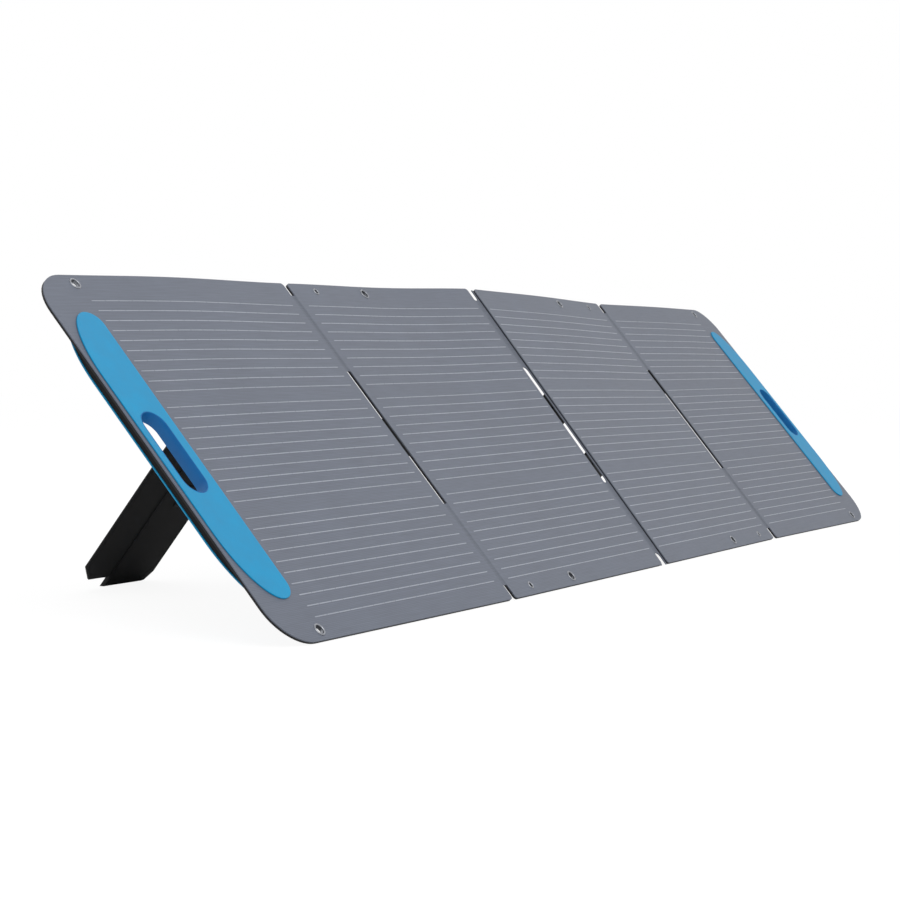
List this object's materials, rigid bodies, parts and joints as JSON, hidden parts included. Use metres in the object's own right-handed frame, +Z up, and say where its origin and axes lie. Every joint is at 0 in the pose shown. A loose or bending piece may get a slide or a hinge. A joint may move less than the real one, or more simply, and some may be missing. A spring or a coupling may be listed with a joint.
{
  "type": "folding solar panel",
  "caption": "Folding solar panel: a row of hinged cell sections leaning back on fold-out legs, with a carrying grip at each end.",
  "frame": {"origin": "middle of the bounding box, at the floor", "axes": "+X along the row of sections, +Z up, the cells face -Y and up"},
  "size_m": [2.3, 0.63, 0.4549],
  "materials": {
    "laminate": "fine matte film",
    "cells": "smooth",
    "cover": "coated woven fabric",
    "web": "woven webbing",
    "grip": "satin",
    "core": "closed foam",
    "steel": "polished",
    "board": "fabric over stiff board",
    "plastic": "fine texture"
  },
  "bodies": {
    "section_1": {"section_1_back_cover": "cover", "section_1_cell_sheet": "cells", "section_1_eyelet_1": "steel", "section_1_eyelet_2": "steel", "section_1_front_sheet": "laminate", "leg_1_hinge_tape": "board", "leg_1_strap_anchor": "web", "grip_left_back_plate": "grip", "grip_left_core": "core", "grip_left_front_plate": "grip"},
    "section_2": {"section_2_back_cover": "cover", "section_2_cell_sheet": "cells", "section_2_eyelet_1": "steel", "section_2_eyelet_2": "steel", "section_2_eyelet_3": "steel", "section_2_eyelet_4": "steel", "section_2_front_sheet": "laminate", "leg_2_hinge_tape": "board", "leg_2_strap_anchor": "web", "hinge_1_web_lower": "web", "hinge_1_web_upper": "web"},
    "section_3": {"section_3_back_cover": "cover", "section_3_cell_sheet": "cells", "section_3_eyelet_1": "steel", "section_3_eyelet_2": "steel", "section_3_eyelet_3": "steel", "section_3_eyelet_4": "steel", "section_3_front_sheet": "laminate", "leg_3_hinge_tape": "board", "leg_3_strap_anchor": "web", "hinge_3_web_lower": "web", "hinge_3_web_upper": "web"},
    "section_4": {"section_4_back_cover": "cover", "section_4_cell_sheet": "cells", "section_4_eyelet_1": "steel", "section_4_eyelet_2": "steel", "section_4_front_sheet": "laminate", "leg_4_hinge_tape": "board", "leg_4_strap_anchor": "web", "grip_right_back_plate": "grip", "grip_right_core": "core", "grip_right_front_plate": "grip", "connection_box_base": "plastic", "connection_box_lid": "plastic", "output_socket": "plastic"},
    "centre_web": {"centre_web_strip": "web"},
    "leg_1": {"leg_1_board": "board", "leg_1_wing": "board", "leg_1_strap_tab": "web"},
    "leg_2": {"leg_2_board": "board", "leg_2_wing": "board", "leg_2_strap_tab": "web"},
    "leg_3": {"leg_3_board": "board", "leg_3_wing": "board", "leg_3_strap_tab": "web"},
    "leg_4": {"leg_4_board": "board", "leg_4_wing": "board", "leg_4_strap_tab": "web"}
  },
  "joints": [
    {"name": "fold_1", "type": "hinge", "parent": "section_2", "child": "section_1", "pos_m": [-0.575, -0.1254, 0.22888], "axis": [0, 0.6428, 0.766], "range_deg": [0, 176]},
    {"name": "centre_fold_a", "type": "hinge", "parent": "section_2", "child": "centre_web", "pos_m": [-0.005, -0.12196, 0.22598], "axis": [0, 0.6428, 0.766], "range_deg": [0, 88]},
    {"name": "centre_fold_b", "type": "hinge", "parent": "centre_web", "child": "section_3", "pos_m": [0.005, -0.12196, 0.22598], "axis": [0, 0.6428, 0.766], "range_deg": [0, 88]},
    {"name": "fold_3", "type": "hinge", "parent": "section_3", "child": "section_4", "pos_m": [0.575, -0.1254, 0.22888], "axis": [0, -0.6428, -0.766], "range_deg": [0, 176]},
    {"name": "leg_1_fold", "type": "hinge", "parent": "section_1", "child": "leg_1", "pos_m": [-0.647, 0.0076, 0.37183], "axis": [-1, 0, 0], "range_deg": [0, 79.03]},
    {"name": "leg_2_fold", "type": "hinge", "parent": "section_2", "child": "leg_2", "pos_m": [-0.072, 0.0076, 0.37183], "axis": [-1, 0, 0], "range_deg": [0, 79.03]},
    {"name": "leg_3_fold", "type": "hinge", "parent": "section_3", "child": "leg_3", "pos_m": [0.503, 0.0076, 0.37183], "axis": [-1, 0, 0], "range_deg": [0, 79.03]},
    {"name": "leg_4_fold", "type": "hinge", "parent": "section_4", "child": "leg_4", "pos_m": [0.928, 0.0076, 0.37183], "axis": [-1, 0, 0], "range_deg": [0, 79.03]}
  ]
}
